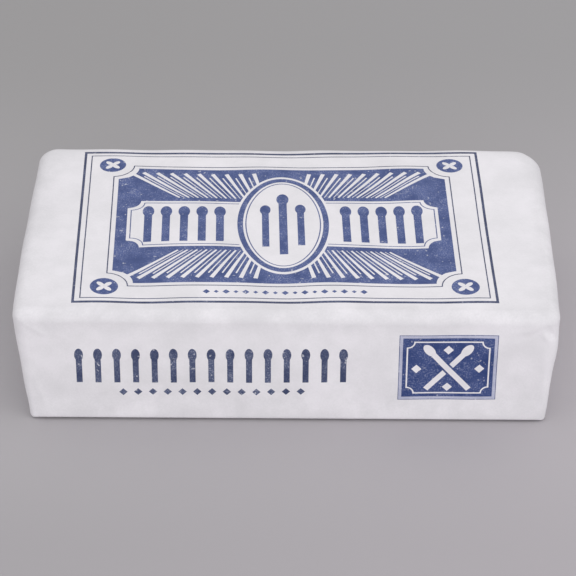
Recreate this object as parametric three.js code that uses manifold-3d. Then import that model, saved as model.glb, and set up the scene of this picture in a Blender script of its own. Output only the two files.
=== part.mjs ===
// A paper-wrapped pack of fifty matchbooks: two rows of twenty-five, lying on their long edges.
// Sizes are in millimetres, +Z is up. The pack rests on z = 0 with its printed front facing -Y.
import * as THREE from "three";
import { mergeVertices } from "three/addons/utils/BufferGeometryUtils.js";
import Module from "manifold-3d";

// The wrapped block, measured over the paper
const packLength = 166;
const packDepth = 99;
const packHeight = 39.3;

// How tightly the paper turns over the books: along the long edges, and around the standing corners
const topFrontRadius = 3.6;
const topBackRadius = 3.8;
const bottomEdgeRadius = 1.3;
const frontLeftRadius = 3.8;
const frontRightRadius = 4.3;
const backLeftRadius = 6.4;
const backRightRadius = 9.2;
const cornerReach = 22; // a corner's rounding fades into the side over this length

// How the rows of books have settled inside the paper
const rowSkew = 0.95; // the back row has slid this far to the right, and the front row to the left
const leftLean = 4.5; // the foot of each end stands in by this much
const rightLean = 2.2;
const endBulge = 1;
const sideBulge = 0.3;
const topCrown = 0.3;
const backRightSwell = 0.85; // the top stands up this much towards its back right corner
const waveHeight = 0.4; // slack waves across the top
const waveLength = 41;

// The glued folds at the two ends, and the long lap underneath
const foldInset = 4; // the folded layers start this far inside the pack's edges
const topFlapLength = 19;
const bottomFlapLength = 21;
const topFlapStep = 0.35; // how far each flap stands out from the paper under it
const bottomFlapStep = 0.7;
const lapStep = 0.2;
const lapPastMiddle = 8;
const foldTaper = 6; // a layer rises from its fold to its full step over this length
const layerRoot = 1; // each layer's hidden face lies this deep in the block

// Mesh fineness: cells along the middle of each side, and the stops that lead in from an edge
const middleCells = { x: 16, y: 10, z: 4 };
const edgeStops = [0, 0.06, 0.15, 0.3, 0.5, 0.75, 1];
const edgeZone = 8.5;
const flapColumns = 10;
const flapRows = 8;

const paperColour = 0xe4e2e7;

const wasm = await Module();
wasm.setup();

const mix = (a, b, share) => a + (b - a) * share;

// A smooth step from 0 at or below zero to 1 at or above one.
const ease = (value) => {
  const t = Math.min(Math.max(value, 0), 1);
  return t * t * (3 - 2 * t);
};

// The radius of the pack's outline, seen from above, near a point of the square block.
function outlineRadius(point) {
  const towardBack = point.y / packDepth + 0.5;
  const edge = mix(topFrontRadius, topBackRadius, towardBack);
  const corner =
    point.x < 0
      ? mix(frontLeftRadius, backLeftRadius, towardBack)
      : mix(frontRightRadius, backRightRadius, towardBack);
  const nearEnd = ease((Math.abs(point.x) - packLength / 2 + cornerReach) / cornerReach);
  return mix(edge, Math.max(corner, edge), nearEnd);
}

// Moves a point of the square block's surface onto the rounded block, and then out by a lift.
// The standing corners are rounded first, and the top or bottom edge is then rolled over.
function soften(point, lift) {
  const outline = outlineRadius(point);
  const isUpper = point.z > packHeight / 2;
  const towardBack = point.y / packDepth + 0.5;
  const topRadius = mix(topFrontRadius, topBackRadius, towardBack);
  const radius = isUpper ? topRadius : bottomEdgeRadius;
  const height = isUpper ? packHeight - point.z : point.z;
  const reach = new THREE.Vector2(packLength, packDepth).multiplyScalar(0.5).subScalar(outline);
  const base = new THREE.Vector2(point.x, point.y).clamp(reach.clone().negate(), reach);
  const out = new THREE.Vector2(point.x, point.y).sub(base);
  const depth = Math.max(Math.abs(out.x), Math.abs(out.y));
  const sideways = Math.max(radius - (outline - depth), 0);
  const upright = Math.max(radius - height, 0);
  const scale = (Math.max(sideways, upright) + lift) / Math.hypot(sideways, upright) - 1;
  base.addScaledVector(out.normalize(), depth + sideways * scale);
  return new THREE.Vector3(base.x, base.y, point.z + (isUpper ? 1 : -1) * upright * scale);
}

// Leans, skews and bulges the rounded block as the books have settled. The bottom stays flat.
function settle(point) {
  const along = (2 * point.x) / packLength;
  const across = (2 * point.y) / packDepth;
  const up = point.z / packHeight;
  const fullX = 1 - along * along;
  const fullY = 1 - across * across;
  const fullZ = 4 * up * (1 - up);
  const lean = mix(leftLean, rightLean, (along + 1) / 2) * along * (1 - up);
  const slack = ease(1.4 * fullX) * ease(1.4 * fullY);
  const wave =
    0.62 * Math.sin((2 * Math.PI * (point.x + 0.35 * point.y)) / waveLength + 0.6) +
    0.38 * Math.sin((2 * Math.PI * (point.y - 0.4 * point.x)) / (1.7 * waveLength) + 2.1);
  const swell = ease(along + 0.2) * ease(across + 0.2) * ease(2 * fullX) * ease(3 * fullY);
  return new THREE.Vector3(
    point.x + rowSkew * across - lean + endBulge * along * fullY * fullZ,
    point.y + sideBulge * across * fullX * fullZ,
    point.z + up * up * (topCrown * fullX * fullY + backRightSwell * swell + waveHeight * slack * wave),
  );
}

// A point of the finished paper surface, from a point of the square block and a lift.
const onPaper = (x, y, z, lift) => settle(soften(new THREE.Vector3(x, y, z), lift));

// Turns a closed three.js geometry into a solid.
function solidOf(geometry) {
  geometry.deleteAttribute("normal");
  geometry.deleteAttribute("uv");
  const merged = mergeVertices(geometry, 1e-4);
  return new wasm.Manifold(
    new wasm.Mesh({
      numProp: 3,
      vertProperties: new Float32Array(merged.attributes.position.array),
      triVerts: new Uint32Array(merged.index.array),
    }),
  );
}

// Moves each vertex of a geometry to the place that a function gives it.
function displace(geometry, place) {
  const positions = geometry.attributes.position;
  const vertex = new THREE.Vector3();
  for (let i = 0; i < positions.count; i += 1) {
    vertex.fromBufferAttribute(positions, i);
    const moved = place(vertex);
    positions.setXYZ(i, moved.x, moved.y, moved.z);
  }
  return geometry;
}

// Stops from 0 to a length: close together near both edges and even in the middle.
function stopsAlong(length, cells) {
  const zone = Math.min(edgeZone, length / 3);
  const first = edgeStops.map((share) => share * zone);
  const middle = Array.from({ length: cells - 1 }, (_, i) => mix(zone, length - zone, (i + 1) / cells));
  const last = first.map((stop) => length - stop).reverse();
  return [...first, ...middle, ...last];
}

// The block of books under one layer of paper.
function bookBlock() {
  const stops = {
    x: stopsAlong(packLength, middleCells.x),
    y: stopsAlong(packDepth, middleCells.y),
    z: stopsAlong(packHeight, middleCells.z),
  };
  const cells = [stops.x.length - 1, stops.y.length - 1, stops.z.length - 1];
  const box = new THREE.BoxGeometry(...cells, ...cells);
  return displace(box, (grid) => {
    const x = stops.x[Math.round(grid.x + cells[0] / 2)] - packLength / 2;
    const y = stops.y[Math.round(grid.y + cells[1] / 2)] - packDepth / 2;
    const z = stops.z[Math.round(grid.z + cells[2] / 2)];
    return onPaper(x, y, z, 0);
  });
}

// A folded layer: a slab whose outer face stands a step proud of the block, rooted inside it.
// The surface function takes u in -1..1 across the layer, v in 0..1 away from its fold, and a lift.
function foldedLayer(surface, length, step) {
  const slab = new THREE.BoxGeometry(2, 1, 1, flapColumns, flapRows, 1);
  return displace(slab, (grid) => {
    const v = grid.y + 0.5;
    const rise = ease((v * length) / foldTaper);
    const lift = grid.z > 0 ? mix(-0.5 * step, step, rise) : -layerRoot;
    return surface(grid.x, v, lift);
  });
}

// A flap folded over one end: it starts across the whole fold and narrows at 45 degrees.
function endFlap(end, fromTop, length, step) {
  return foldedLayer(
    (u, v, lift) => {
      const down = v * length;
      const halfWidth = packDepth / 2 - foldInset - down;
      const y = (fromTop ? -end : end) * u * halfWidth;
      const z = fromTop ? packHeight - foldInset - down : foldInset + down;
      return onPaper((end * packLength) / 2, y, z, lift);
    },
    length,
    step,
  );
}

// The outer layer of the long lap underneath: from the front bottom edge to past the middle.
function bottomLap() {
  const length = packDepth / 2 - foldInset + lapPastMiddle;
  return foldedLayer(
    (u, v, lift) => {
      const x = -u * (packLength / 2 - foldInset);
      const y = foldInset - packDepth / 2 + v * length;
      return onPaper(x, y, 0, lift);
    },
    length,
    lapStep,
  );
}

// The whole wrapped pack as one closed solid, moved so that it stands centred on z = 0.
function wrappedPack() {
  const layers = [bottomLap()];
  for (const end of [-1, 1]) {
    layers.push(endFlap(end, true, topFlapLength, topFlapStep));
    layers.push(endFlap(end, false, bottomFlapLength, bottomFlapStep));
  }
  const whole = layers.reduce((solid, layer) => solid.add(solidOf(layer)), solidOf(bookBlock()));
  const mesh = whole.getMesh();
  const geometry = new THREE.BufferGeometry();
  geometry.setAttribute("position", new THREE.BufferAttribute(mesh.vertProperties, 3));
  geometry.setIndex(new THREE.BufferAttribute(mesh.triVerts, 1));
  geometry.computeBoundingBox();
  const box = geometry.boundingBox;
  geometry.translate(-(box.min.x + box.max.x) / 2, -(box.min.y + box.max.y) / 2, -box.min.z);
  geometry.computeVertexNormals();
  const material = new THREE.MeshStandardMaterial({ color: paperColour, roughness: 0.85, metalness: 0 });
  const pack = new THREE.Mesh(geometry, material);
  pack.name = "wrapped_pack";
  return pack;
}

const root = new THREE.Group();
root.name = "wrapped_pack_of_matchbooks";
root.add(wrappedPack());

export default root;
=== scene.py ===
"""A paper-wrapped pack of matchbooks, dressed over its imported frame.

Shapes are worked out in millimetres, in the pack's own frame: +X along the pack, -Y towards its
printed front, +Z up. They become metres when a mesh is made.
"""
from __future__ import annotations

import logging
import math
from collections.abc import Iterable
from dataclasses import dataclass, field
from enum import Enum

import bpy
import numpy as np
from mathutils import Matrix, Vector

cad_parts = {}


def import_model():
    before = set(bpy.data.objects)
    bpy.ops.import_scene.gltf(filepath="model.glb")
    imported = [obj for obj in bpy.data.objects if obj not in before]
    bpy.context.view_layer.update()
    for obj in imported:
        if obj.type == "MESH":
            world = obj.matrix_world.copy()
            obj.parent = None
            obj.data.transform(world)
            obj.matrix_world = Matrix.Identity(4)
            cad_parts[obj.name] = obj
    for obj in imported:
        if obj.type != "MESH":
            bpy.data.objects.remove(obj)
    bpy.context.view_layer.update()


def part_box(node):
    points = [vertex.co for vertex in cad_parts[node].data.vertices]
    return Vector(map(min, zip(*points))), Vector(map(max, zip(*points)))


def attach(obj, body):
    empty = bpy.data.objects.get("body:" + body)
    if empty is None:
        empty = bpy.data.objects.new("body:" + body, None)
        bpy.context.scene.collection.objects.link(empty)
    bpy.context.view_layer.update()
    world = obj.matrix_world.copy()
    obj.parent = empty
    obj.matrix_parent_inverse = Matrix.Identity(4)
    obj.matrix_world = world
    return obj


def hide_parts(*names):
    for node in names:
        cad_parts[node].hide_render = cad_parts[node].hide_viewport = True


log = logging.getLogger("matchbook_pack")
MM = 0.001
NODE = "wrapped_pack"
BODY = "root"
SHARP_EDGE_DEGREES = 38.0
SPREAD_STEPS = 4
TINY = 1e-9


class Slot(Enum):
    """The names of two material slots of the record, for white paper and for blue ink."""

    PAPER = "white_paper"
    INK = "blue_ink"


class Side(Enum):
    """The two printed sides of the pack."""

    TOP = "top"
    FRONT = "front"


# Small formulas

Numbers = float | np.ndarray


def ease(value: np.ndarray) -> np.ndarray:
    """Smooth step: 0 below zero, 1 above one, and 3t^2 - 2t^3 between.

    Args:
        value: Any numbers.

    Returns:
        The eased numbers, in the same shape.
    """
    t = np.clip(value, 0.0, 1.0)
    return t * t * (3.0 - 2.0 * t)


def srgb(red: int, green: int, blue: int) -> tuple[float, float, float, float]:
    """Turns a colour as a screen shows it into the linear colour that shaders use.

    Args:
        red: Red, 0 to 255.
        green: Green, 0 to 255.
        blue: Blue, 0 to 255.

    Returns:
        The linear colour with alpha 1.
    """
    share = np.array([red, green, blue]) / 255.0
    linear = np.where(share <= 0.04045, share / 12.92, ((share + 0.055) / 1.055) ** 2.4)
    return (*map(float, linear), 1.0)


def cross_grid(cells: tuple[int, int], start: tuple[float, float] = (0.0, 0.0)) -> list[np.ndarray]:
    """An even grid of two parameters, each of which ends at 1.

    Args:
        cells: The number of cells each way.
        start: Where each parameter starts.

    Returns:
        The two parameters, each as (rows, columns).
    """
    lines = [np.linspace(low, 1.0, count + 1) for low, count in zip(start, cells)]
    return np.meshgrid(*lines, indexing="ij")


def turned(across: Numbers, up: Numbers, degrees: float) -> tuple[Numbers, Numbers]:
    """Turns flat points about the origin: across c - up s, and across s + up c.

    Args:
        across: Place across.
        up: Place up.
        degrees: The turn, anticlockwise.

    Returns:
        The turned places, across and up.
    """
    c, s = math.cos(math.radians(degrees)), math.sin(math.radians(degrees))
    return across * c - up * s, across * s + up * c


# Meshes from grids


def put_in_scene(name: str, data: bpy.types.ID) -> bpy.types.Object:
    """Makes an object of a mesh, a lamp or a camera, and links it to the scene.

    Args:
        name: The object's name.
        data: What it shows.

    Returns:
        The object, at the origin.
    """
    made = bpy.data.objects.new(name, data)
    bpy.context.scene.collection.objects.link(made)
    return made


@dataclass
class Shell:
    """Vertices in millimetres and faces of one or more closed surfaces, gathered before a mesh is made.

    Where it has a painted shade, that is how much each vertex is greyed by painted shade, 0 to 1.
    """

    points: list[np.ndarray] = field(default_factory=list)
    quads: list[np.ndarray] = field(default_factory=list)
    count: int = 0
    # Painted shade: how much each vertex is greyed at the paper's upper edges and foot.
    painted_shade: np.ndarray | None = None

    def add(self, points: np.ndarray, quads: np.ndarray) -> None:
        """Adds one surface.

        Args:
            points: Its vertices, as (n, 3).
            quads: Its faces, as (m, 4) numbers of those vertices.
        """
        self.points.append(points)
        self.quads.append(quads + self.count)
        self.count += len(points)

    def add_slab(self, outer: np.ndarray, inner: np.ndarray, wraps: bool = False) -> None:
        """Adds a thin closed slab between an outer and an inner grid.

        The outer grid faces along the product of its first and second direction, the inner grid is
        turned round, and walls join the two along the rim. A grid that wraps has no walls across
        its first direction.

        Args:
            outer: The outer surface as (rows, columns, 3).
            inner: The inner surface in the same shape.
            wraps: Whether the last row joins the first one.
        """
        rows, columns = outer.shape[:2]
        number = np.arange(rows * columns).reshape(rows, columns)
        ring = np.vstack([number, number[:1]]) if wraps else number
        a, b, c, d = ring[:-1, :-1], ring[1:, :-1], ring[1:, 1:], ring[:-1, 1:]
        under = rows * columns
        faces = [np.stack([a, b, c, d], -1).reshape(-1, 4)]
        faces.append(np.stack([d, c, b, a], -1).reshape(-1, 4) + under)
        rims = [ring[:, 0], ring[::-1, -1]]
        if not wraps:
            rims += [number[-1, :], number[0, ::-1]]
        for rim in rims:
            lower = rim + under
            faces.append(np.stack([rim[1:], rim[:-1], lower[:-1], lower[1:]], -1))
        self.add(np.concatenate([outer.reshape(-1, 3), inner.reshape(-1, 3)]), np.concatenate(faces))

    def to_object(self, name: str, offset: np.ndarray) -> bpy.types.Object:
        """Makes the Blender object, smooth apart from its real edges.

        Args:
            name: The piece's name.
            offset: What is added to every vertex, in millimetres.

        Returns:
            The new object, at the origin.
        """
        points = (np.concatenate(self.points) + offset) * MM
        quads = np.concatenate(self.quads)
        mesh = bpy.data.meshes.new(name)
        mesh.vertices.add(len(points))
        mesh.vertices.foreach_set("co", points.astype(np.float32).ravel())
        mesh.loops.add(quads.size)
        mesh.loops.foreach_set("vertex_index", quads.astype(np.int32).ravel())
        mesh.polygons.add(len(quads))
        mesh.polygons.foreach_set("loop_start", np.arange(0, quads.size, 4, dtype=np.int32))
        mesh.polygons.foreach_set("use_smooth", np.ones(len(quads), dtype=bool))
        mesh.update(calc_edges=True)
        mesh.validate()
        mesh.set_sharp_from_angle(angle=math.radians(SHARP_EDGE_DEGREES))
        # The painted shade per vertex goes into a point attribute that the paper's material reads.
        if self.painted_shade is not None:
            shaded = mesh.attributes.new("painted_shade", "FLOAT", "POINT")
            shaded.data.foreach_set("value", self.painted_shade.astype(np.float32))
        return put_in_scene(name, mesh)


# The form of the wrapped pack


@dataclass(frozen=True)
class Ripple:
    """One sine wave in the paper: its strength, its rate, its way through the block and its phase."""

    strength: float
    rate: float
    way: tuple[float, float, float]
    phase: float

    def rise(self, point: np.ndarray, length: float) -> np.ndarray:
        """The wave's height: the strength times the sine of the distance along its way.

        Args:
            point: Points, as (..., 3).
            length: The wave length at a rate of 1.

        Returns:
            The height at each point, as a share of the relief.
        """
        turn = 2 * math.pi * self.rate / length
        return self.strength * np.sin(turn * (point @ np.array(self.way)) + self.phase)


@dataclass(frozen=True)
class Crease:
    """One little crease on the front: a short straight line along which the paper is raised or sunk."""

    end: int
    inset: float
    up: float
    degrees: float
    reach: float
    width: float
    height: float

    def rise(self, x: np.ndarray, z: np.ndarray, half_length: float) -> np.ndarray:
        """The crease's height: a narrow bell across its line, times a wide bell along it.

        Args:
            x: Place along the pack.
            z: Place up the pack.
            half_length: Half the pack's length.

        Returns:
            The height at each point.
        """
        along = x - self.end * (half_length - self.inset)
        run, off = turned(along, z - self.up, -self.degrees)
        return self.height * np.exp(-((run / self.reach) ** 2) - (off / self.width) ** 2)


COCKLE = (
    Ripple(1.0, 1.0, (1.0, 0.3, 0.7), 0.0),
    Ripple(1.0, 1.37, (-0.45, 0.0, 1.0), 1.9),
    Ripple(0.8, 0.81, (0.6, 1.0, -1.0), 4.0),
)
TOP_WAVES = (
    Ripple(0.62, 1.0, (1.0, 0.35, 0.0), 0.6),
    Ripple(0.38, 1 / 1.7, (-0.4, 1.0, 0.0), 2.1),
)
FRONT_CREASES = (
    # The end it is near, how far in from it, how far up, turn, half length, half width, height
    Crease(1, 1.7, 32.6, -52.0, 2.6, 0.8, -0.46),
    Crease(1, 3.3, 31.2, -52.0, 2.8, 0.75, 0.3),
    Crease(1, 11.0, 32.0, 14.0, 3.6, 1.2, -0.16),
    Crease(1, 8.5, 34.2, 28.0, 5.0, 0.9, 0.16),
    Crease(-1, 6.5, 33.6, -34.0, 5.5, 0.9, 0.15),
    Crease(-1, 12.0, 29.5, -62.0, 6.0, 1.4, -0.12),
    Crease(1, 4.0, 9.0, 74.0, 7.0, 0.8, 0.14),
    Crease(-1, 4.6, 11.0, -80.0, 7.5, 0.9, 0.13),
)


@dataclass(frozen=True)
class PackShape:
    """The outer form of the paper, as a function of a point on the square block of books."""

    length: float = 166.0
    depth: float = 99.0
    height: float = 39.3
    top_front_radius: float = 3.6
    top_back_radius: float = 3.8
    bottom_radius: float = 0.9
    foot_corner_radius: float = 1.5
    foot_lift: float = 0.45
    foot_spread: float = 0.5
    foot_reach: float = 9.5
    front_left_radius: float = 3.8
    front_right_radius: float = 4.3
    back_left_radius: float = 7.3
    back_right_radius: float = 10.2
    corner_reach: float = 22.0
    corner_ease: float = 0.85
    row_skew: float = 1.0
    left_lean: float = 4.76
    right_lean: float = 2.35
    left_bulge: float = 1.25
    right_bulge: float = 1.35
    rim_bulge: float = 0.3
    side_bulge: float = 0.3
    top_crown: float = 0.5
    back_right_swell: float = 1.3
    swell_start: float = -0.2
    swell_fade: float = 3.7
    swell_side_fade: float = 5.0
    wave_height: float = 0.4
    wave_length: float = 41.0
    wave_fade: float = 1.4
    cockle: float = 0.07
    cockle_length: float = 23.0
    cockle_start: float = 5.0
    crease_depth: float = 3.0
    crease_fade: float = 2.0
    puff: float = 1.2
    puff_up: float = 26.5
    puff_reach: float = 6.2

    def run_back(self, y: np.ndarray, front: float, back: float) -> np.ndarray:
        """Runs a size evenly from its value at the front to its value at the back.

        Args:
            y: Place across the block.
            front: The size at the front.
            back: The size at the back.

        Returns:
            The size at each point.
        """
        return front + (back - front) * (y / self.depth + 0.5)

    def outline_radius(self, x: np.ndarray, y: np.ndarray, z: np.ndarray) -> np.ndarray:
        """Radius of the pack's outline from above: the edge's own, growing to the corner's at an end.

        Downwards it eases to the sharper radius that the books' feet give the paper.

        Args:
            x: Place along the block.
            y: Place across the block.
            z: Place up the block.

        Returns:
            The radius at each point.
        """
        edge = self.run_back(y, self.top_front_radius, self.top_back_radius)
        left = self.run_back(y, self.front_left_radius, self.back_left_radius)
        right = self.run_back(y, self.front_right_radius, self.back_right_radius)
        corner = np.maximum(np.where(x < 0, left, right), edge)
        near_end = ease((np.abs(x) - self.length / 2 + self.corner_reach) / self.corner_reach)
        radius = edge + (corner - edge) * near_end
        foot = self.foot_corner_radius
        return foot + (radius - foot) * ease(z / (self.corner_ease * self.height))

    def relief(self, block: np.ndarray) -> np.ndarray:
        """Fine relief of the paper: a slow cockle all over, little creases, and one puffed corner.

        The cockle is a sum of ripples that fades out at the foot. The creases fade out behind the
        front. The puff is a round bell at the right front corner.

        Args:
            block: Points on the square block, as (..., 3).

        Returns:
            How far the paper stands out at each point.
        """
        x, y, z = np.moveaxis(block, -1, 0)
        half = self.length / 2
        slow = sum(ripple.rise(block, self.cockle_length) for ripple in COCKLE)
        front = ease((self.crease_depth - y - self.depth / 2) / self.crease_fade)
        folds = sum(crease.rise(x, z, half) for crease in FRONT_CREASES)
        away = np.sqrt((x - half) ** 2 + (y + self.depth / 2) ** 2 + (z - self.puff_up) ** 2)
        puffed = self.puff * np.exp(-((away / self.puff_reach) ** 2))
        return self.cockle * slow * ease(z / self.cockle_start) + folds * front + puffed

    def soften(self, block: np.ndarray, lift: np.ndarray | float) -> np.ndarray:
        """Rounds the square block: first its standing corners, then its top and bottom edges.

        Seen from above, a point keeps its larger offset from the inner rectangle as its distance
        along the unit direction away from it. Over an edge the same is done with the offsets
        sideways and upright, and the lift is added along that direction.

        Args:
            block: Points on the square block, as (..., 3).
            lift: How far out from the paper each point lies.

        Returns:
            The rounded points.
        """
        x, y, z = np.moveaxis(block, -1, 0)
        outline = self.outline_radius(x, y, z)
        upper = z > self.height / 2
        top = self.run_back(y, self.top_front_radius, self.top_back_radius)
        radius = np.where(upper, top, self.bottom_radius)
        height = np.where(upper, self.height - z, z)
        reach_x = self.length / 2 - outline
        reach_y = self.depth / 2 - outline
        base_x = np.clip(x, -reach_x, reach_x)
        base_y = np.clip(y, -reach_y, reach_y)
        out_x = x - base_x
        out_y = y - base_y
        far = np.maximum(np.abs(out_x), np.abs(out_y))
        norm = np.maximum(np.hypot(out_x, out_y), TINY)
        sideways = np.maximum(radius - (outline - far), 0.0)
        upright = np.maximum(radius - height, 0.0)
        span = np.maximum(np.hypot(sideways, upright), TINY)
        scale = (np.maximum(sideways, upright) + lift) / span - 1.0
        run = far + sideways * scale
        up = np.where(upper, 1.0, -1.0) * upright * scale
        return np.stack([base_x + out_x / norm * run, base_y + out_y / norm * run, z + up], -1)

    def settle(self, point: np.ndarray) -> np.ndarray:
        """Leans, skews and bulges the rounded block as the books have settled.

        An end leans in proportion to its height, and bulges most halfway up. The top has a crown, a
        swell towards the back right, and the slack paper's waves. The bottom stays flat, but for
        its two long edges: they spread a little and hang clear of the floor.

        Args:
            point: Points of the rounded block, as (..., 3).

        Returns:
            The settled points.
        """
        x, y, z = np.moveaxis(point, -1, 0)
        along = 2 * x / self.length
        across = 2 * y / self.depth
        up = z / self.height
        full_x = 1 - along**2
        full_y = 1 - across**2
        full_z = 4 * up * (1 - up)
        lean = (self.left_lean + (self.right_lean - self.left_lean) * (along + 1) / 2) * along * (1 - up)
        bulge = np.where(along < 0, self.left_bulge, self.right_bulge)
        bulge = bulge * along * full_y * (self.rim_bulge + (1 - self.rim_bulge) * full_z)
        slack = ease(self.wave_fade * full_x) * ease(self.wave_fade * full_y)
        wave = self.wave_height * slack * sum(ripple.rise(point, self.wave_length) for ripple in TOP_WAVES)
        swell = ease(along - self.swell_start) * ease(across - self.swell_start)
        swell = swell * ease(self.swell_fade * full_x) * ease(self.swell_side_fade * full_y)
        rise = self.top_crown * full_x * full_y + self.back_right_swell * swell + wave
        rim = ease(1 - (self.depth / 2 - np.abs(y)) / self.foot_reach)
        inside = ease(2 * (self.length / 2 - np.abs(x)) / self.foot_reach)
        foot = (1 - ease(z / self.foot_reach)) * rim * inside
        return np.stack(
            [
                x + self.row_skew * across - lean + bulge,
                y + self.side_bulge * across * full_x * full_z + self.foot_spread * np.sign(y) * foot,
                z + up * up * rise + self.foot_lift * foot,
            ],
            -1,
        )

    def paper(self, block: np.ndarray, lift: np.ndarray | float = 0.0) -> np.ndarray:
        """The paper's surface over points of the square block, raised by a lift.

        Args:
            block: Points on the square block, as (..., 3).
            lift: How far out from the paper each point lies.

        Returns:
            Points of the finished surface.
        """
        return self.settle(self.soften(block, lift + self.relief(block)))

    def spread(self, side: Side, across: np.ndarray, up: np.ndarray) -> np.ndarray:
        """Finds the points of the square block that the finished surface carries to given places.

        It starts from the places themselves and takes off the error that is left, a few times.

        Args:
            side: The printed side.
            across: Place to the right of the pack's middle, on the finished surface.
            up: Place away from the reader: back on the top, up from the floor on the front.

        Returns:
            Points on the block, as (..., 3).
        """
        axes = [0, 1] if side is Side.TOP else [0, 2]
        block = np.zeros((*across.shape, 3))
        block[..., 2 if side is Side.TOP else 1] = self.height if side is Side.TOP else -self.depth / 2
        aim = np.stack([across, up], -1)
        block[..., axes] = aim
        for _ in range(SPREAD_STEPS):
            block[..., axes] += aim - self.paper(block)[..., axes]
        return block


# The wrapping paper


@dataclass
class Wrapper:
    """The sheet around the books: the closed body, and the glued layers folded over it."""

    shape: PackShape
    edge_zone: float = 9.6
    edge_cells: int = 20
    edge_crowding: float = 1.3
    cell: float = 1.25
    fold_inset: float = 3.0
    top_flap_length: float = 20.0
    bottom_flap_length: float = 22.0
    top_flap_step: float = 0.32
    bottom_flap_step: float = 0.62
    lap_step: float = 0.2
    lap_past_middle: float = 8.0
    fold_taper: float = 5.0
    fold_sink: float = 0.25
    root: float = 0.4
    flap_rounding: float = 0.02
    flap_rounding_power: int = 8
    flap_cells: tuple[int, int] = (80, 40)
    lap_cells: tuple[int, int] = (120, 40)
    # Painted shade: its reach about the upper edges at the left and right ends and the long sides, and its
    # reach and share at the foot.
    shade_left: float = 7.5
    shade_right: float = 4.5
    shade_side: float = 5.0
    shade_foot: float = 16.0
    shade_foot_share: float = 0.62

    def stops(self, length: float) -> np.ndarray:
        """Grid lines from 0 to a length: closer towards both edges, and even in the middle.

        Args:
            length: The length to divide.

        Returns:
            The grid lines, first to last.
        """
        zone = min(self.edge_zone, length / 3)
        lead = zone * np.linspace(0, 1, self.edge_cells + 1) ** self.edge_crowding
        middle = np.linspace(zone, length - zone, max(2, round((length - 2 * zone) / self.cell)) + 1)
        return np.concatenate([lead[:-1], middle, (length - lead[:-1])[::-1]])

    def body(self) -> Shell:
        """The block under one layer of paper: the six sides of a box lattice, joined at their rims.

        Returns:
            One closed surface.
        """
        lines = [self.stops(size) for size in (self.shape.length, self.shape.depth, self.shape.height)]
        counts = [len(line) for line in lines]
        ids, faces = [], []
        for axis in range(3):
            first, second = (axis + 1) % 3, (axis + 2) % 3
            for end in (0, counts[axis] - 1):
                index = [None, None, None]
                grid = np.meshgrid(np.arange(counts[first]), np.arange(counts[second]), indexing="ij")
                index[axis] = np.full_like(grid[0], end)
                index[first], index[second] = grid
                number = (index[0] * counts[1] + index[1]) * counts[2] + index[2]
                quad = np.stack([number[:-1, :-1], number[1:, :-1], number[1:, 1:], number[:-1, 1:]], -1)
                faces.append((quad if end else quad[..., ::-1]).reshape(-1, 4))
                ids.append(number.ravel())
        used, inverse = np.unique(np.concatenate([face.ravel() for face in faces]), return_inverse=True)
        i, rest = np.divmod(used, counts[1] * counts[2])
        j, k = np.divmod(rest, counts[2])
        block = np.stack(
            [lines[0][i] - self.shape.length / 2, lines[1][j] - self.shape.depth / 2, lines[2][k]], -1
        )
        # The paper body carries the painted shade of its upper edges and foot.
        shell = Shell(painted_shade=self.painted_shade(block))
        shell.add(self.shape.paper(block), inverse.reshape(-1, 4))
        return shell

    def painted_shade(self, block: np.ndarray) -> np.ndarray:
        """How much painted shade greys the paper: bells about the upper edges and the foot.

        The way to an upper edge is the distance to the rim on the top, and the drop from the rim on
        a side. The bell is wider towards the left end. At the foot it is a wide, weaker one.

        Args:
            block: Points on the square block, as (n, 3).

        Returns:
            The painted shade at each point, 0 to 1.
        """
        x, y, z = block.T
        to_end = self.shape.length / 2 - np.abs(x)
        to_side = self.shape.depth / 2 - np.abs(y)
        drop = self.shape.height - z
        near_end = np.exp(-(((to_end + drop) / np.where(x < 0, self.shade_left, self.shade_right)) ** 2))
        near_side = np.exp(-(((to_side + drop) / self.shade_side) ** 2))
        near_foot = self.shade_foot_share * np.exp(-((z / self.shade_foot) ** 2))
        return np.maximum(np.maximum(near_end, near_side), near_foot)

    def layer(self, block: np.ndarray, away: np.ndarray, step: float) -> Shell:
        """A folded layer over a grid of the block: it rises from under the paper to its full step.

        Args:
            block: The grid on the block, as (rows, columns, 3).
            away: How far each point lies from the fold.
            step: The layer's height over the paper under it.

        Returns:
            One closed slab.
        """
        lift = step * ((1 + self.fold_sink) * ease(away / self.fold_taper) - self.fold_sink)
        shell = Shell()
        shell.add_slab(self.shape.paper(block, lift), self.shape.paper(block, -self.root))
        return shell

    def end_flap(self, end: int, from_top: bool) -> Shell:
        """A flap folded over one end: it narrows at 45 degrees, and its free edge draws in at the corners.

        Args:
            end: -1 for the left end, 1 for the right one.
            from_top: Whether it is the top flap; otherwise the bottom one.

        Returns:
            One closed slab.
        """
        length = self.top_flap_length if from_top else self.bottom_flap_length
        step = self.top_flap_step if from_top else self.bottom_flap_step
        u, v = cross_grid(self.flap_cells, (-1.0, 0.0))
        away = v * length * (1 - self.flap_rounding * u**self.flap_rounding_power)
        half_width = self.shape.depth / 2 - self.fold_inset - away
        y = (-end if from_top else end) * u * half_width
        z = self.shape.height - self.fold_inset - away if from_top else self.fold_inset + away
        block = np.stack([np.full_like(y, end * self.shape.length / 2), y, z], -1)
        return self.layer(block, away, step)

    def bottom_lap(self) -> Shell:
        """The outer layer underneath, from the front edge to a little past the middle.

        Returns:
            One closed slab.
        """
        length = self.shape.depth / 2 - self.fold_inset + self.lap_past_middle
        u, v = cross_grid(self.lap_cells, (-1.0, 0.0))
        x = -u * (self.shape.length / 2 - self.fold_inset)
        block = np.stack([x, self.fold_inset - self.shape.depth / 2 + v * length, np.zeros_like(x)], -1)
        return self.layer(block, v * length, self.lap_step)


# Flat print shapes: a patch is a grid's places across and up, and whether its first direction wraps

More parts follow.
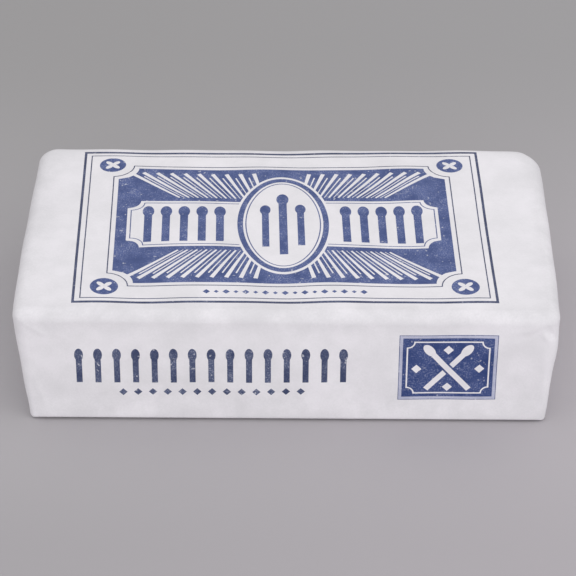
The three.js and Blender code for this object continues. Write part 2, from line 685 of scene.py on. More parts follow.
Patch = tuple[np.ndarray, np.ndarray, bool]
FILL_CELL = 1.2
BAR_CELL = 1.6
PATH_CELL = 1.5
OVAL_POINTS = 96
OVAL_LEAST_CELLS = 6
LEAST_MITRE = 0.5
NOTCH_POINTS = 10
NOTCH_ROWS = 11


def bar_grid(width: float, height: float) -> list[np.ndarray]:
    """A grid over a bar, fine enough to follow the paper.

    Args:
        width: The bar's width.
        height: The bar's height.

    Returns:
        The two parameters, each 0 to 1.
    """
    return cross_grid((max(1, math.ceil(width / BAR_CELL)), max(1, math.ceil(height / BAR_CELL))))


def bar(x: float, y: float, width: float, height: float, degrees: float = 0.0) -> Patch:
    """A straight bar about its middle, turned by an angle.

    Args:
        x: Middle, across.
        y: Middle, up.
        width: Width.
        height: Height.
        degrees: Turn, anticlockwise.

    Returns:
        The patch.
    """
    u, v = bar_grid(width, height)
    across, up = turned((u - 0.5) * width, (v - 0.5) * height, degrees)
    return x + across, y + up, False


def lozenge(x: float, y: float, side: float) -> Patch:
    """A square that stands on its corner.

    Args:
        x: Middle, across.
        y: Middle, up.
        side: The length of a side.

    Returns:
        The patch.
    """
    return bar(x, y, side, side, 45.0)


def oval(x: float, y: float, half_width: float, half_height: float, degrees: float = 0.0) -> Patch:
    """A filled oval: a square grid drawn in to a disc, a * sqrt(1 - b^2 / 2) each way, then stretched.

    Args:
        x: Middle, across.
        y: Middle, up.
        half_width: Half its width.
        half_height: Half its height.
        degrees: Turn, anticlockwise.

    Returns:
        The patch.
    """
    cells = max(OVAL_LEAST_CELLS, math.ceil(2 * max(half_width, half_height) / FILL_CELL))
    a, b = cross_grid((cells, cells), (-1.0, -1.0))
    disc_across = half_width * a * np.sqrt(1 - b * b / 2)
    disc_up = half_height * b * np.sqrt(1 - a * a / 2)
    across, up = turned(disc_across, disc_up, degrees)
    return x + across, y + up, False


def stroke(path: np.ndarray, width: float, level: float | None = None) -> Patch:
    """A line along a closed path: the path, moved each way along its normal, with mitred corners.

    Args:
        path: Points around the path, anticlockwise, as (n, 2).
        width: The line's width.
        level: The width of its level runs, where it isn't the same.

    Returns:
        The patch, which wraps.
    """
    ahead = np.roll(path, -1, 0) - path
    behind = path - np.roll(path, 1, 0)
    ahead /= np.linalg.norm(ahead, axis=1, keepdims=True)
    behind /= np.linalg.norm(behind, axis=1, keepdims=True)
    mean = ahead + behind
    mean /= np.linalg.norm(mean, axis=1, keepdims=True)
    mitre = 1.0 / np.maximum(np.sum(mean * ahead, axis=1), LEAST_MITRE)
    normal = np.stack([-mean[:, 1], mean[:, 0]], -1) * mitre[:, None]
    widths = np.array([width, width if level is None else level])
    offset = np.array([-0.5, 0.5])[:, None] * widths
    grid = path[:, None, :] + normal[:, None, :] * offset[None, :, :]
    return grid[..., 0], grid[..., 1], True


def oval_path(half_width: float, half_height: float) -> np.ndarray:
    """Points around an oval about the origin.

    Args:
        half_width: Half its width.
        half_height: Half its height.

    Returns:
        The points, anticlockwise.
    """
    turn = np.linspace(0, 2 * math.pi, OVAL_POINTS, endpoint=False)
    return np.stack([half_width * np.cos(turn), half_height * np.sin(turn)], -1)


def box_path(width: float, height: float, notch: float = 0.0) -> np.ndarray:
    """Points around a rectangle about the origin, whose corners may be cut by inward quarter rounds.

    Args:
        width: Full width.
        height: Full height.
        notch: Radius of the corner cuts; 0 leaves them square.

    Returns:
        The points, anticlockwise.
    """
    corners = []
    for sign_x, sign_y, start in ((1, -1, 180), (1, 1, 270), (-1, 1, 0), (-1, -1, 90)):
        corner = np.array([[sign_x * width / 2, sign_y * height / 2]])
        if notch > 0:
            turn = math.radians(start) - np.linspace(0, math.pi / 2, NOTCH_POINTS)
            corner = corner + notch * np.stack([np.cos(turn), np.sin(turn)], -1)
        corners.append(corner)
    path = []
    for here, after in zip(corners, corners[1:] + corners[:1]):
        run = after[0] - here[-1]
        steps = max(1, math.ceil(float(np.linalg.norm(run)) / PATH_CELL))
        path += [here, here[-1] + run * (np.arange(1, steps) / steps)[:, None]]
    return np.concatenate(path)


def notched_panel(width: float, height: float, notch: float) -> Patch:
    """A filled rectangle about the origin whose corners are cut by inward quarter rounds.

    Row by row, the half width is the rectangle's less the reach of the corner's circle there.

    Args:
        width: Full width.
        height: Full height.
        notch: Radius of the corner cuts.

    Returns:
        The patch.
    """
    ends = notch * (1 - np.cos(np.linspace(0, math.pi / 2, NOTCH_ROWS + 1)))
    plain = height - 2 * notch
    middle = np.linspace(notch, height - notch, max(2, round(plain / FILL_CELL)) + 1)
    rows = np.concatenate([ends[:-1], middle, (height - ends[:-1])[::-1]]) - height / 2
    from_end = height / 2 - np.abs(rows)
    cut = np.sqrt(np.maximum(notch**2 - from_end**2, 0.0)) * (from_end < notch)
    u, up = np.meshgrid(np.linspace(-1, 1, round(width / FILL_CELL) + 1), rows, indexing="ij")
    return u * (width / 2 - cut), up, False


def strip(start: np.ndarray, end: np.ndarray, foot: float, tip: float) -> Patch:
    """A straight strip from one point to another, whose width runs evenly from foot to tip.

    Args:
        start: The middle of its foot.
        end: The middle of its tip.
        foot: Width at the foot.
        tip: Width at the tip.

    Returns:
        The patch.
    """
    run = end - start
    length = float(np.hypot(*run))
    side = np.array([run[1], -run[0]]) / length
    u, v = bar_grid(max(foot, tip), length)
    half = (u - 0.5) * (foot + (tip - foot) * v)
    return start[0] + run[0] * v + side[0] * half, start[1] + run[1] * v + side[1] * half, False


@dataclass(frozen=True)
class Match:
    """A drawn match: a straight stick, and an oval head around its tip."""

    length: float
    stick: float
    head: float
    head_stretch: float = 1.7

    def stand(self, x: float, y: float, degrees: float = 0.0) -> list[Patch]:
        """Draws the match up from its foot, so that the head's far end is where the match ends.

        Args:
            x: Foot, across.
            y: Foot, up.
            degrees: Turn about the foot, anticlockwise.

        Returns:
            The stick's patch and the head's.
        """
        half_width = 0.5 * self.head
        half_height = half_width * self.head_stretch
        way = np.array(turned(0.0, 1.0, degrees))
        foot = np.array([x, y])
        middle = foot + way * (self.length - half_height)
        stick = strip(foot, middle, self.stick, self.stick)
        return [stick, oval(*middle, half_width, half_height, degrees)]


@dataclass
class Print:
    """Print on one side of the pack: layers of thin ink shapes, draped over the paper.

    Slack paper draws the print out of square: a point moves down by the slack, times its place
    across, times its place above the line where the slack starts.
    """

    shape: PackShape
    side: Side
    middle: tuple[float, float]
    turn: float = 0.0
    slack: float = 0.0
    slack_start: float = 0.0
    pitch: float = 0.018
    shells: dict[str, Shell] = field(default_factory=dict)

    def place(self, name: str, level: int, *patches: Patch) -> None:
        """Drapes flat patches over the paper as thin closed slabs.

        Args:
            name: The piece that they belong to.
            level: 1 for ink on the paper, 2 for what lies over that, and so on.
            patches: The patches, in the print's own coordinates.
        """
        shell = self.shells.setdefault(name, Shell())
        for across, up, wraps in patches:
            drawn = up - self.slack * across * (up - self.slack_start)
            right, away = turned(across, drawn, self.turn)
            block = self.shape.spread(self.side, self.middle[0] + right, self.middle[1] + away)
            outer = self.shape.paper(block, level * self.pitch)
            inner = self.shape.paper(block, -self.pitch)
            if wraps:
                outer, inner = outer[::-1], inner[::-1]
            shell.add_slab(outer, inner, wraps)


@dataclass
class TopLabel:
    """The printed label on the top: a ruled frame, an inked field, a medallion and rows of matches."""

    shape: PackShape
    width: float = 128.7
    height: float = 87.1
    middle: tuple[float, float] = (-1.5, 0.7)
    turn: float = 0.58
    slack: float = 1.5e-4

    outer_rule: float = 0.82
    outer_rule_level: float = 1.05
    inner_rule: float = 0.36
    rule_gap: float = 2.1
    field_width: float = 106.0
    field_height: float = 66.5
    field_margin: float = 1.6
    notch: float = 6.5

    disc_radius: float = 4.3
    disc_outset: float = 0.6
    leaf_reach: float = 1.55
    leaf: tuple[float, float] = (1.5, 0.8)

    band_inset: float = 3.5
    band_height: float = 27.0
    band_notch: float = 4.2
    band_margin: float = 1.2
    band_rule: float = 0.32
    band_match: Match = Match(21.0, 2.5, 3.7)
    band_match_foot: float = -10.6
    first_match: float = 20.0
    match_pitch: float = 5.7
    match_count: int = 5

    ray_numbers: tuple[int, int] = (4, 22)
    ray_pitch: tuple[float, float] = (1.5, 2.25)
    ray_margins: tuple[float, float] = (2.2, 2.6)
    wide_ray: float = 1.0
    fine_ray: float = 0.36
    fine_ray_share: float = 0.84
    ray_taper: tuple[float, float] = (0.6, 1.35)

    medallion_oval: tuple[float, float] = (15.4, 28.2)
    medallion_ring: tuple[float, float] = (14.5, 27.1)
    medallion_ground: tuple[float, float] = (12.7, 25.0)
    medallion_line: tuple[float, float] = (11.8, 23.9)
    medallion_rule: float = 0.35
    tall_match: Match = Match(35.0, 2.6, 3.9)
    tall_match_foot: float = -17.5
    low_match: Match = Match(24.0, 2.2, 3.4)
    low_match_foot: float = -13.0
    low_match_reach: float = 5.6

    lozenge_count: int = 17
    lozenge_pitch: float = 3.0
    lozenge_sides: tuple[float, float] = (1.584, 1.08)

    def rules(self, sheet: Print) -> None:
        """Draws the frame: a thick and a thin rule, and a fine rule around the field.

        Args:
            sheet: The print to draw on.
        """
        inset = 2 * self.rule_gap
        outset = 2 * self.field_margin
        outer = box_path(self.width, self.height)
        inner = box_path(self.width - inset, self.height - inset)
        around = box_path(self.field_width + outset, self.field_height + outset, self.notch)
        sheet.place("label_rules", 1, stroke(outer, self.outer_rule, self.outer_rule_level))
        sheet.place("label_rules", 1, stroke(inner, self.inner_rule), stroke(around, self.inner_rule))

    def corners(self, sheet: Print) -> None:
        """Puts an inked disc with a four-leaved knot in each corner of the frame.

        Args:
            sheet: The print to draw on.
        """
        outset = self.field_margin + self.disc_outset
        for sign_x in (-1, 1):
            for sign_y in (-1, 1):
                x = sign_x * (self.field_width / 2 + outset)
                y = sign_y * (self.field_height / 2 + outset)
                sheet.place("label_field", 1, oval(x, y, self.disc_radius, self.disc_radius))
                for degrees in (45, 135, 225, 315):
                    across, up = turned(self.leaf_reach, 0.0, degrees)
                    sheet.place("label_whites", 2, oval(x + across, y + up, *self.leaf, degrees))

    def band(self, sheet: Print) -> None:
        """Lays a white band across the field, with a fine rule inside it, and stands matches in it.

        Args:
            sheet: The print to draw on.
        """
        wide = self.field_width - 2 * self.band_inset
        margin = 2 * self.band_margin
        inline = box_path(wide - margin, self.band_height - margin, self.band_notch)
        sheet.place("label_whites", 2, notched_panel(wide, self.band_height, self.band_notch))
        sheet.place("label_marks", 3, stroke(inline, self.band_rule))
        for sign in (-1, 1):
            for number in range(self.match_count):
                x = sign * (self.first_match + number * self.match_pitch)
                sheet.place("label_marks", 3, *self.band_match.stand(x, self.band_match_foot))

    def rays(self, sheet: Print) -> None:
        """Spreads white rays from the middle over the field, wide and fine ones by turns.

        Args:
            sheet: The print to draw on.
        """
        start = self.band_height / 2 + self.ray_margins[0]
        top = self.field_height / 2 - self.ray_margins[1]
        first, last = self.ray_numbers
        for sign in (-1, 1):
            for number in (*range(-last, 1 - first), *range(first, last + 1)):
                near = np.array([number * self.ray_pitch[0], sign * start])
                far = np.array([number * self.ray_pitch[1], sign * top])
                share, width = (self.fine_ray_share, self.fine_ray) if number % 2 else (1.0, self.wide_ray)
                foot, tip = (width * taper for taper in self.ray_taper)
                sheet.place("label_whites", 2, strip(near, near + (far - near) * share, foot, tip))

    def medallion(self, sheet: Print) -> None:
        """Sets an oval in the middle, with rings and three upright matches.

        Args:
            sheet: The print to draw on.
        """
        sheet.place("label_medallion", 4, oval(0, 0, *self.medallion_oval))
        sheet.place("label_marks", 5, oval(0, 0, *self.medallion_ring))
        sheet.place("label_medallion", 6, oval(0, 0, *self.medallion_ground))
        sheet.place("label_marks", 7, stroke(oval_path(*self.medallion_line), self.medallion_rule))
        sheet.place("label_marks", 7, *self.tall_match.stand(0, self.tall_match_foot))
        for sign in (-1, 1):
            x = sign * self.low_match_reach
            sheet.place("label_marks", 7, *self.low_match.stand(x, self.low_match_foot))

    def edging(self, sheet: Print) -> None:
        """Runs a row of lozenges, large and small by turns, between the field and the foot of the frame.

        Args:
            sheet: The print to draw on.
        """
        field_foot = self.field_height / 2 + self.field_margin
        frame_foot = self.height / 2 - self.rule_gap
        y = -(field_foot + frame_foot) / 2
        half = self.lozenge_count // 2
        for number in range(-half, half + 1):
            side = self.lozenge_sides[number % 2]
            sheet.place("label_marks", 1, lozenge(number * self.lozenge_pitch, y, side))

    def draw(self) -> Print:
        """Draws the whole label.

        Returns:
            The print with all its pieces.
        """
        sheet = Print(self.shape, Side.TOP, self.middle, self.turn, self.slack, -self.height / 2)
        sheet.place("label_field", 1, notched_panel(self.field_width, self.field_height, self.notch))
        self.rules(sheet)
        self.corners(sheet)
        self.rays(sheet)
        self.band(sheet)
        self.medallion(sheet)
        self.edging(sheet)
        return sheet


@dataclass
class FrontPrint:
    """The print on the front side: a row of matches, a row of lozenges, and a small framed badge."""

    shape: PackShape
    turn: float = 0.45

    row_left: float = -63.5
    row_right: float = 16.9
    row_foot: float = 14.4
    row_match: Match = Match(12.5, 1.85, 2.7)
    match_count: int = 15
    lozenges_left: float = -50.3
    lozenges_right: float = 4.0
    lozenges_up: float = 10.9
    lozenge_side: float = 1.8
    lozenge_count: int = 13

    badge: tuple[float, float] = (48.75, 19.9)
    badge_width: float = 30.0
    badge_height: float = 23.9
    border: float = 1.1
    outline: float = 0.18
    outline_inset: float = 0.075
    inline: float = 0.45
    inline_inset: float = 2.5
    inline_notch: float = 2.2
    badge_match: Match = Match(21.4, 1.8, 2.9)
    badge_match_reach: float = 6.6
    badge_match_drop: float = 8.0
    badge_match_lean: float = 40.7
    crossing_gap: float = 3.0
    crossing_tip: tuple[float, float] = (-5.8, 6.4)
    badge_lozenge: float = 2.2
    badge_lozenges: tuple[tuple[float, float], ...] = ((0, 6.6), (0, -7.2), (9.6, -0.4), (-9.6, -0.4))

    def rows(self, sheet: Print) -> None:
        """Draws the row of upright matches and the row of lozenges under it.

        Args:
            sheet: The print to draw on.
        """
        for x in np.linspace(self.row_left, self.row_right, self.match_count):
            sheet.place("front_marks", 1, *self.row_match.stand(x, self.row_foot))
        for x in np.linspace(self.lozenges_left, self.lozenges_right, self.lozenge_count):
            sheet.place("front_marks", 1, lozenge(x, self.lozenges_up, self.lozenge_side))

    def box(self, inset: float, notch: float = 0.0) -> np.ndarray:
        """Points around the badge, a given way inside its rim.

        Args:
            inset: How far inside the rim.
            notch: Radius of the corner cuts.

        Returns:
            The points, anticlockwise.
        """
        path = box_path(self.badge_width - 2 * inset, self.badge_height - 2 * inset, notch)
        return path + np.array(self.badge)

    def emblem(self, sheet: Print) -> None:
        """Draws the badge: a pale border, an inked field, and two crossed matches among lozenges.

        The match that lies over the other has an inked gap around it where they cross.

        Args:
            sheet: The print to draw on.
        """
        x, y = self.badge
        wide, tall = self.badge_width, self.badge_height
        ground = bar(x, y, wide - 2 * self.border, tall - 2 * self.border)
        sheet.place("badge_border", 1, bar(x, y, wide, tall))
        sheet.place("badge_marks", 2, ground, stroke(self.box(self.outline_inset), self.outline))
        foot = y - self.badge_match_drop
        left, right = x - self.badge_match_reach, x + self.badge_match_reach
        sheet.place("badge_whites", 3, *self.badge_match.stand(left, foot, -self.badge_match_lean))
        tip = np.array(self.badge) + np.array(self.crossing_tip)
        gap = strip(np.array([right, foot]), tip, self.crossing_gap, self.crossing_gap)
        sheet.place("badge_marks", 4, gap)
        sheet.place("badge_whites", 5, *self.badge_match.stand(right, foot, self.badge_match_lean))
        for across, up in self.badge_lozenges:
            sheet.place("badge_whites", 3, lozenge(x + across, y + up, self.badge_lozenge))
        inner = self.box(self.inline_inset, self.inline_notch)
        sheet.place("badge_whites", 3, stroke(inner, self.inline))

    def draw(self) -> Print:
        """Draws all of the front's print.

        Returns:
            The print with all its pieces.
        """
        sheet = Print(self.shape, Side.FRONT, (0.0, 0.0), self.turn)
        self.rows(sheet)
        self.emblem(sheet)
        return sheet


# Shader groups and finishes

Operand = float | bpy.types.NodeSocket
Colour = tuple[int, int, int]
BUMP_DISTANCE = 0.4 * MM


@dataclass
class NodeSketch:
    """A short way to place and join shader nodes in one tree."""

    tree: bpy.types.NodeTree

    def node(self, kind: str, **settings: object) -> bpy.types.Node:
        """Places a node and sets its plain properties.

        Args:
            kind: The node's type name.
            settings: Property values by name.

        Returns:
            The node.
        """
        made = self.tree.nodes.new(kind)
        for name, value in settings.items():
            setattr(made, name, value)
        return made

    def join(self, source: bpy.types.NodeSocket, target: bpy.types.NodeSocket) -> None:
        """Links an output to an input."""
        self.tree.links.new(source, target)

    def noise(
        self, place: bpy.types.NodeSocket, scale: float, detail: float, rough: float
    ) -> bpy.types.NodeSocket:
        """Places a noise texture over a coordinate.

        Args:
            place: The coordinate.
            scale: Cycles to the metre.
            detail: Octaves.
            rough: How strong the fine octaves are.

        Returns:
            The noise, about 0.5.
        """
        made = self.node("ShaderNodeTexNoise")
        made.inputs["Scale"].default_value = scale
        made.inputs["Detail"].default_value = detail
        made.inputs["Roughness"].default_value = rough
        self.join(place, made.inputs["Vector"])
        return made.outputs["Fac"]

    def ramp(self, value: bpy.types.NodeSocket, low: float, high: float) -> bpy.types.NodeSocket:
        """Maps low..high to 0..1 with a smooth step.

        Args:
            value: The number to map.
            low: What becomes 0.
            high: What becomes 1.

        Returns:
            The mapped number.
        """
        made = self.node("ShaderNodeMapRange", interpolation_type="SMOOTHSTEP")
        made.inputs["From Min"].default_value = low
        made.inputs["From Max"].default_value = high
        self.join(value, made.inputs["Value"])
        return made.outputs["Result"]

    def feed(self, sockets: Iterable[bpy.types.NodeSocket], values: Iterable[object]) -> None:
        """Gives each input its value, or links it to the output that is given instead.

        Args:
            sockets: The inputs.
            values: A value or an output for each.
        """
        for socket, value in zip(sockets, values):
            if isinstance(value, bpy.types.NodeSocket):
                self.join(value, socket)
            else:
                socket.default_value = value

    def maths(self, operation: str, first: Operand, second: Operand) -> bpy.types.NodeSocket:
        """Places a math node; each operand is a number or an output.

        Args:
            operation: The math node's operation.
            first: The first operand.
            second: The second operand.

        Returns:
            The result.
        """
        made = self.node("ShaderNodeMath", operation=operation)
        self.feed(made.inputs, (first, second))
        return made.outputs[0]

    def mean(self, first: Operand, second: Operand, share: float) -> bpy.types.NodeSocket:
        """Adds two numbers, the first times its share and the second times the rest.

        Args:
            first: The first number.
            second: The second number.
            share: The first one's share.

        Returns:
            The weighted mean.
        """
        part = self.maths("MULTIPLY", first, share)
        rest = self.maths("MULTIPLY", second, 1.0 - share)
        return self.maths("ADD", part, rest)

    def blend(self, share: Operand, first: object, second: object) -> bpy.types.NodeSocket:
        """Mixes two colours; each operand is a value or an output.

        Args:
            share: How much of the second colour.
            first: The first colour.
            second: The second colour.

        Returns:
            The mixed colour.
        """
        made = self.node("ShaderNodeMix", data_type="RGBA")
        self.feed((made.inputs[0], made.inputs[6], made.inputs[7]), (share, first, second))
        return made.outputs[2]

    def place_on_object(self) -> bpy.types.NodeSocket:
        """Gives the place on the object, in metres."""
        return self.node("ShaderNodeTexCoord").outputs["Object"]


@dataclass
class ShaderGroup:
    """A node group with named number sockets, begun and ready to draw in."""

    name: str
    takes: tuple[str, ...]
    gives: tuple[str, ...]

    def __post_init__(self) -> None:
        """Makes the group, its sockets and its two end nodes."""
        self.tree = bpy.data.node_groups.new(self.name, "ShaderNodeTree")
        for name in self.takes:
            socket = self.tree.interface.new_socket(name, in_out="INPUT", socket_type="NodeSocketFloat")
            socket.default_value = 1.0
        for name in self.gives:
            self.tree.interface.new_socket(name, in_out="OUTPUT", socket_type="NodeSocketFloat")
        self.sketch = NodeSketch(self.tree)
        self.inputs = self.sketch.node("NodeGroupInput").outputs
        self.outputs = self.sketch.node("NodeGroupOutput").inputs


def paper_grain_group() -> bpy.types.NodeTree:
    """The grain of the wrapping paper: slow clouds, handling marks and fine fibres.

    Returns:
        A group with the inputs Cloud and Fibre, and the outputs Shade and Height.
    """
    group = ShaderGroup("paper_grain", ("Cloud", "Fibre"), ("Shade", "Height"))
    sketch = group.sketch
    place = sketch.place_on_object()
    slow = sketch.noise(place, scale=55.0, detail=3.0, rough=0.55)
    blotch = sketch.noise(place, scale=160.0, detail=2.0, rough=0.5)
    fibre = sketch.noise(place, scale=1500.0, detail=3.0, rough=0.6)
    clouds = sketch.maths("SUBTRACT", sketch.mean(slow, blotch, 0.62), 0.5)
    clouds = sketch.maths("MULTIPLY", clouds, group.inputs["Cloud"])
    fine = sketch.maths("MULTIPLY", sketch.maths("SUBTRACT", fibre, 0.5), group.inputs["Fibre"])
    shade = sketch.maths("ADD", clouds, sketch.maths("MULTIPLY", fine, 0.5))
    height = sketch.maths("ADD", sketch.maths("MULTIPLY", blotch, 0.5), fine)
    sketch.join(shade, group.outputs["Shade"])
    sketch.join(height, group.outputs["Height"])
    return group.tree


def ink_cover_group() -> bpy.types.NodeTree:
    """How well ink covers the paper: cloudy patches, a streaky wipe and small missed specks.

    Returns:
        A group with the input Wear, and the outputs Cover and Tone.
    """
    group = ShaderGroup("ink_cover", ("Wear",), ("Cover", "Tone"))
    sketch = group.sketch
    place = sketch.place_on_object()
    grain = sketch.noise(place, scale=2300.0, detail=2.0, rough=0.6)
    patches = sketch.noise(place, scale=170.0, detail=3.0, rough=0.6)
    specks = sketch.noise(place, scale=850.0, detail=1.0, rough=0.5)
    missed = sketch.ramp(specks, low=0.69, high=0.75)
    thin = sketch.maths(
        "MULTIPLY", sketch.ramp(grain, low=0.48, high=0.72), sketch.ramp(patches, low=0.32, high=0.66)
    )
    bare = sketch.maths("MULTIPLY", sketch.mean(missed, thin, 0.6), group.inputs["Wear"])
    sketch.join(sketch.maths("SUBTRACT", 1.0, bare), group.outputs["Cover"])
    sketch.join(sketch.mean(patches, grain, 0.6), group.outputs["Tone"])
    return group.tree


@dataclass
class Coat:
    """A material on its plain shader, begun and ready for its colour and bump."""

    name: str
    roughness: float
    specular: float

    def __post_init__(self) -> None:
        """Makes the material and sets what is the same all over it."""
        self.material = bpy.data.materials.new(self.name)
        self.material.use_nodes = True
        self.sketch = NodeSketch(self.material.node_tree)
        self.shader = self.material.node_tree.nodes["Principled BSDF"]
        self.shader.inputs["Roughness"].default_value = self.roughness
        self.shader.inputs["Specular IOR Level"].default_value = self.specular

    def use(self, group: bpy.types.NodeTree, **values: float) -> bpy.types.Node:
        """Places a group in the material, with its values by socket name.

        Args:
            group: The group.
            values: What its inputs get.

        Returns:
            The group's node.
        """
        placed = self.sketch.node("ShaderNodeGroup", node_tree=group)
        for name, value in values.items():
            placed.inputs[name].default_value = value
        return placed

    def paint(self, colour: bpy.types.NodeSocket) -> None:
        """Gives the shader its colour."""
        self.sketch.join(colour, self.shader.inputs["Base Color"])

    def raise_by(self, height: bpy.types.NodeSocket, strength: float) -> None:
        """Gives the shader a fine relief.

        Args:
            height: The relief's height.
            strength: How strongly it shows.
        """
        bump = self.sketch.node("ShaderNodeBump")
        bump.inputs["Strength"].default_value = strength
        bump.inputs["Distance"].default_value = BUMP_DISTANCE
        self.sketch.join(height, bump.inputs["Height"])
        self.sketch.join(bump.outputs["Normal"], self.shader.inputs["Normal"])


@dataclass(frozen=True)
class PaperFinish:
    """Matt white wrapping paper with faint clouds and fibres, and painted shade greying its upper edges
    and foot.
    """

    name: str = "wrapping_paper"
    light: Colour = (232, 229, 234)
    dark: Colour = (219, 217, 221)
    # The grey of the painted shade at the upper edges and the foot.
    shaded: Colour = (206, 204, 208)
    shade_range: float = 0.22
    shade_limit: float = 1.25
    shade_share: float = 0.75
    cloud: float = 0.85
    fibre: float = 0.5
    roughness: float = 0.72
    specular: float = 0.35
    bump: float = 0.14

    def build(self, grain: bpy.types.NodeTree) -> bpy.types.Material:
        """Makes the material.

        Args:
            grain: The paper grain group.

        Returns:
            The material.
        """
        coat = Coat(self.name, self.roughness, self.specular)
        sketch = coat.sketch
        grained = coat.use(grain, Cloud=self.cloud, Fibre=self.fibre)
        share = sketch.ramp(grained.outputs["Shade"], -self.shade_range, self.shade_range)
        clean = sketch.blend(share, srgb(*self.dark), srgb(*self.light))
        # Painted shade: greys the paper at its upper edges and foot, by the per-vertex attribute.
        painted_shade = sketch.node("ShaderNodeAttribute", attribute_name="painted_shade").outputs["Fac"]
        shade_amount = sketch.maths("MULTIPLY", sketch.maths("SUBTRACT", self.shade_limit, share), painted_shade)
        shade_amount = sketch.maths("MULTIPLY", shade_amount, self.shade_share)
        coat.paint(sketch.blend(shade_amount, clean, srgb(*self.shaded)))
        coat.raise_by(grained.outputs["Height"], self.bump)
        return coat.material


@dataclass(frozen=True)
class InkFinish:
    """One blue ink on the paper, unevenly laid."""

    name: str
    thick: Colour
    thin: Colour
    wear: float
    paper: Colour = (214, 214, 222)
    tone_range: tuple[float, float] = (0.32, 0.68)
    roughness: float = 0.62
    specular: float = 0.3
    bump: float = 0.12

    def build(self, grain: bpy.types.NodeTree, cover: bpy.types.NodeTree) -> bpy.types.Material:
        """Makes the material.

        Args:
            grain: The paper grain group.
            cover: The ink cover group.

        Returns:
            The material.
        """
        coat = Coat(self.name, self.roughness, self.specular)
        covered = coat.use(cover, Wear=self.wear)
        tone = coat.sketch.ramp(covered.outputs["Tone"], *self.tone_range)
        inked = coat.sketch.blend(tone, srgb(*self.thick), srgb(*self.thin))
        coat.paint(coat.sketch.blend(covered.outputs["Cover"], srgb(*self.paper), inked))
        coat.raise_by(coat.use(grain).outputs["Height"], self.bump)
        return coat.material


PAPER = PaperFinish()
INKS = (
    InkFinish("label_ink", (60, 75, 124), (84, 99, 150), wear=0.85),
    InkFinish("rule_ink", (54, 61, 90), (78, 85, 116), wear=0.5),
    InkFinish("front_ink", (52, 61, 94), (86, 95, 126), wear=0.9),
    InkFinish("badge_ink", (41, 59, 110), (62, 79, 132), wear=0.7),
    InkFinish("pale_ink", (168, 171, 194), (188, 189, 209), wear=0.5),
)
FINISH_OF = {
    "label_field": "label_ink",
    "label_rules": "rule_ink",
    "label_marks": "label_ink",
    "label_whites": PAPER.name,
    "label_medallion": PAPER.name,
    "front_marks": "front_ink",
    "badge_border": "pale_ink",
    "badge_marks": "badge_ink",
    "badge_whites": PAPER.name,
}


# The studio


@dataclass(frozen=True)
class Lamp:
    """A square soft lamp that faces the pack."""

    name: str
    place: tuple[float, float, float]
    power: float
    size: float = 0.9

    def hang(self) -> None:
        """Hangs the lamp: its own -Z, turned about X and then about Z, looks at the origin."""
        light = bpy.data.lights.new(self.name, "AREA")
        light.shape = "SQUARE"
        light.size = self.size
        light.energy = self.power
        away = np.array(self.place) / np.linalg.norm(self.place)
        lamp = put_in_scene(self.name, light)
        lamp.location = self.place
        lamp.rotation_euler = (math.acos(away[2]), 0.0, math.atan2(away[0], -away[1]))


@dataclass(frozen=True)
class Floor:
    """The pale floor, with painted light: a left and a right colour before the pack, beside it and behind
    it.
    """

    size: float = 3.0
    # Painted light: each right colour is lighter than its left one, and the colours beside the pack are
    # the lightest, a painted pool of light that lightens the pack's shadows on the floor.
    front: tuple[Colour, Colour] = ((163, 160, 163), (174, 169, 174))
    near: tuple[Colour, Colour] = ((172, 169, 172), (180, 175, 180))
    far: tuple[Colour, Colour] = ((156, 154, 155), (160, 158, 160))
    left_to_right: tuple[float, float] = (-0.2, 0.2)
    front_to_near: tuple[float, float] = (-0.12, -0.05)
    near_to_far: tuple[float, float] = (-0.03, 0.2)
    roughness: float = 0.9
    specular: float = 0.1

    def material(self) -> bpy.types.Material:
        """Makes the floor's material, whose colours run softly into each other.

        Returns:
            The material.
        """
        coat = Coat("floor", self.roughness, self.specular)
        sketch = coat.sketch
        split = sketch.node("ShaderNodeSeparateXYZ")
        sketch.join(sketch.place_on_object(), split.inputs[0])
        rightwards = sketch.ramp(split.outputs["X"], *self.left_to_right)
        away = sketch.ramp(split.outputs["Y"], *self.near_to_far)
        inwards = sketch.ramp(split.outputs["Y"], *self.front_to_near)
        front, near, far = (
            sketch.blend(rightwards, srgb(*left), srgb(*right))
            for left, right in (self.front, self.near, self.far)
        )
        coat.paint(sketch.blend(inwards, front, sketch.blend(away, near, far)))
        return coat.material

    def build(self) -> bpy.types.Object:
        """Makes the floor, one square face through the origin.

        Returns:
            The floor.
        """
        half = self.size / 2
        corners = [(-half, -half, 0.0), (half, -half, 0.0), (half, half, 0.0), (-half, half, 0.0)]
        mesh = bpy.data.meshes.new("floor")
        mesh.from_pydata(corners, [], [(0, 1, 2, 3)])
        mesh.materials.append(self.material())
        return put_in_scene("floor", mesh)


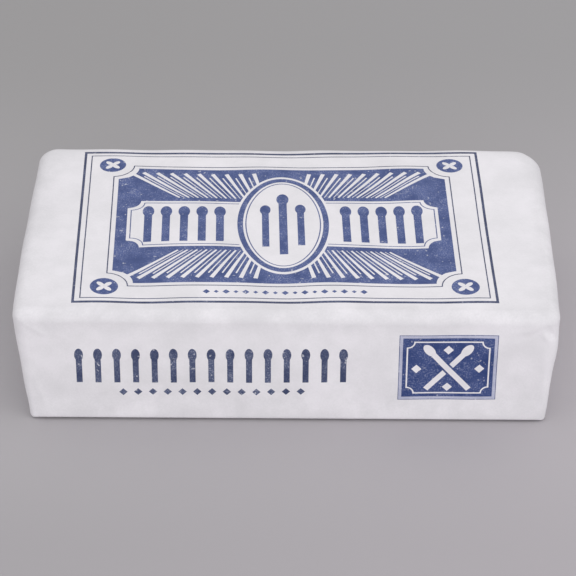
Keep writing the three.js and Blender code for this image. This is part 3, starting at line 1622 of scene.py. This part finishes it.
@dataclass(frozen=True)
class Studio:
    """The soft light, and the camera at the photograph's angle."""

    focal_pixels: float = 2529.0
    picture_pixels: float = 576.0
    azimuth: float = -1.03
    elevation: float = 33.78
    roll: float = 0.98
    distance: float = 813.6
    target: tuple[float, float, float] = (0.37, 0.0, 15.86)
    sensor: float = 36.0
    clip_start: float = 0.01
    sky: float = 0.84
    lamps: tuple[Lamp, ...] = (
        Lamp("top", (-0.1, 0.0, 1.1), 0.55),
        Lamp("front", (0.1, -1.12, 0.3), 4.0),
        Lamp("left", (-0.75, -0.8, 0.5), 0.5),
        Lamp("right", (0.85, -0.55, 0.65), 2.3),
    )

    def camera(self, offset: np.ndarray) -> None:
        """Places the camera: it looks at the target from an azimuth and an elevation, and is rolled.

        Args:
            offset: What was added to the pack's own coordinates, in millimetres.
        """
        az, el, roll = (math.radians(angle) for angle in (self.azimuth, self.elevation, self.roll))
        back = np.array([math.sin(az) * math.cos(el), -math.cos(az) * math.cos(el), math.sin(el)])
        level = np.cross(-back, [0.0, 0.0, 1.0])
        level /= np.linalg.norm(level)
        upright = np.cross(level, -back)
        right = math.cos(roll) * level + math.sin(roll) * upright
        up = math.cos(roll) * upright - math.sin(roll) * level
        eye = (np.array(self.target) + offset + back * self.distance) * MM
        lens = bpy.data.cameras.new("camera")
        lens.sensor_width = self.sensor
        lens.lens = self.focal_pixels / self.picture_pixels * self.sensor
        lens.clip_start = self.clip_start
        matrix = np.eye(4)
        matrix[:3] = np.stack([right, up, back, eye], -1)
        placed = put_in_scene("camera", lens)
        placed.matrix_world = Matrix(matrix.tolist())
        bpy.context.scene.camera = placed

    def light(self) -> None:
        """Lights the scene softly: an even sky, and wide lamps above, in front and at both ends."""
        world = bpy.data.worlds.new("sky")
        world.use_nodes = True
        background = world.node_tree.nodes["Background"]
        background.inputs["Color"].default_value = (1.0, 1.0, 1.0, 1.0)
        background.inputs["Strength"].default_value = self.sky
        bpy.context.scene.world = world
        for lamp in self.lamps:
            lamp.hang()
        bpy.context.scene.view_settings.view_transform = "Standard"


# Putting it together


@dataclass
class Dresser:
    """Turns shells into finished pieces that ride on the pack."""

    offset: np.ndarray
    materials: dict[str, bpy.types.Material]

    def dress(self, name: str, shell: Shell, finish: str) -> bpy.types.Object:
        """Makes one piece, gives it its finish and lets it ride.

        Args:
            name: The piece's name.
            shell: Its surfaces.
            finish: The name of its material.

        Returns:
            The piece.
        """
        piece = shell.to_object(name, self.offset)
        piece.data.materials.append(self.materials[finish])
        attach(piece, BODY)
        log.info("%s: %d faces, %s", name, len(piece.data.polygons), finish)
        return piece


def main() -> None:
    """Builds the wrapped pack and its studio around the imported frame."""
    logging.basicConfig(level=logging.INFO, format="%(message)s")
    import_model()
    shape = PackShape()
    wrapper = Wrapper(shape)
    body = wrapper.body()
    flaps = {
        f"{side}_{edge}_flap": wrapper.end_flap(end, edge == "top")
        for side, end in (("left", -1), ("right", 1))
        for edge in ("top", "bottom")
    }
    low, high = (np.array(corner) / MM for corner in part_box(NODE))
    everything = np.concatenate([shell.points[0] for shell in (body, *flaps.values())])
    offset = (low + high - everything.min(0) - everything.max(0)) / 2
    offset[2] = wrapper.lap_step

    grain = paper_grain_group()
    cover = ink_cover_group()
    materials = {PAPER.name: PAPER.build(grain)}
    materials.update({ink.name: ink.build(grain, cover) for ink in INKS})

    dresser = Dresser(offset, materials)
    paper = dresser.dress("paper_wrap", body, PAPER.name)
    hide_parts(NODE)
    for name, shell in flaps.items():
        dresser.dress(name, shell, PAPER.name)
    dresser.dress("bottom_lap", wrapper.bottom_lap(), PAPER.name)
    for sheet in (TopLabel(shape).draw(), FrontPrint(shape).draw()):
        for name, shell in sheet.shells.items():
            finish = FINISH_OF[name]
            dresser.dress(name, shell, finish)

    Floor().build()
    studio = Studio()
    studio.light()
    studio.camera(offset)


if __name__ == "__main__":
    main()
